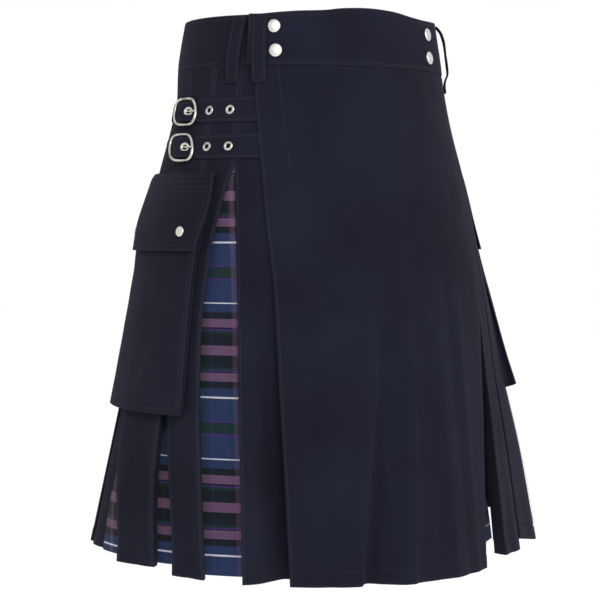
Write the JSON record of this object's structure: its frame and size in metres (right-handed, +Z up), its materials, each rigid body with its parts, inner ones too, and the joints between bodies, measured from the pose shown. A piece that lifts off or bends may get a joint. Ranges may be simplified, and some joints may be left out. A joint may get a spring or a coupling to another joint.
{
  "type": "utility kilt",
  "caption": "Hollow knee-length kilt in plain drill: flat front apron, knife pleats opening over tartan strips, flapped cargo pockets, snaps, belt loops and hip straps with buckles.",
  "frame": {"origin": "middle of the waist opening, level with the waistband's top edge", "axes": "+Z up along the wearer's spine, the front faces -Y, +X towards the wearer's left"},
  "size_m": [0.5378, 0.46, 0.612],
  "materials": {
    "drill": "matt dark navy cotton drill, topstitched",
    "tartan": "matt twill tartan in blue, green, pink and purple",
    "snap": "bright nickel plate",
    "buckle": "worn nickel plate"
  },
  "bodies": {
    "root": {"waistband": "drill", "front_apron": "drill", "under_apron": "drill", "pleat_01": "drill", "pleat_02": "drill", "pleat_03": "drill", "pleat_04": "drill", "pleat_05": "drill", "pleat_06": "drill", "pleat_07": "drill", "pleat_08": "drill", "pleat_09": "drill", "pleat_10": "drill", "pleat_11": "drill", "pleat_12": "drill", "pleat_13": "drill", "pleat_14": "drill", "pleat_15": "drill", "tartan_01": "tartan", "tartan_02": "tartan", "tartan_03": "tartan", "tartan_04": "tartan", "tartan_05": "tartan", "tartan_06": "tartan", "tartan_07": "tartan", "tartan_08": "tartan", "tartan_09": "tartan", "tartan_10": "tartan", "tartan_11": "tartan", "tartan_12": "tartan", "tartan_13": "tartan", "tartan_14": "tartan", "tartan_15": "tartan", "tartan_16": "tartan", "pocket_right": "drill", "pocket_left": "drill", "pocket_flap_right": "drill", "pocket_flap_left": "drill", "snap_right_1": "snap", "snap_right_2": "snap", "snap_left_1": "snap", "snap_left_2": "snap", "snap_pocket_right_front": "snap", "snap_pocket_right_rear": "snap", "snap_pocket_left_front": "snap", "snap_pocket_left_rear": "snap", "belt_loop_right_hip": "drill", "belt_loop_right_front": "drill", "belt_loop_left_hip": "drill", "belt_loop_back_right": "drill", "belt_loop_back_left": "drill", "belt_loop_back_middle": "drill", "strap_upper": "drill", "buckle_upper": "buckle", "prong_upper": "buckle", "buckle_tab_upper": "drill", "strap_lower": "drill", "buckle_lower": "buckle", "prong_lower": "buckle", "buckle_tab_lower": "drill"}
  },
  "joints": []
}
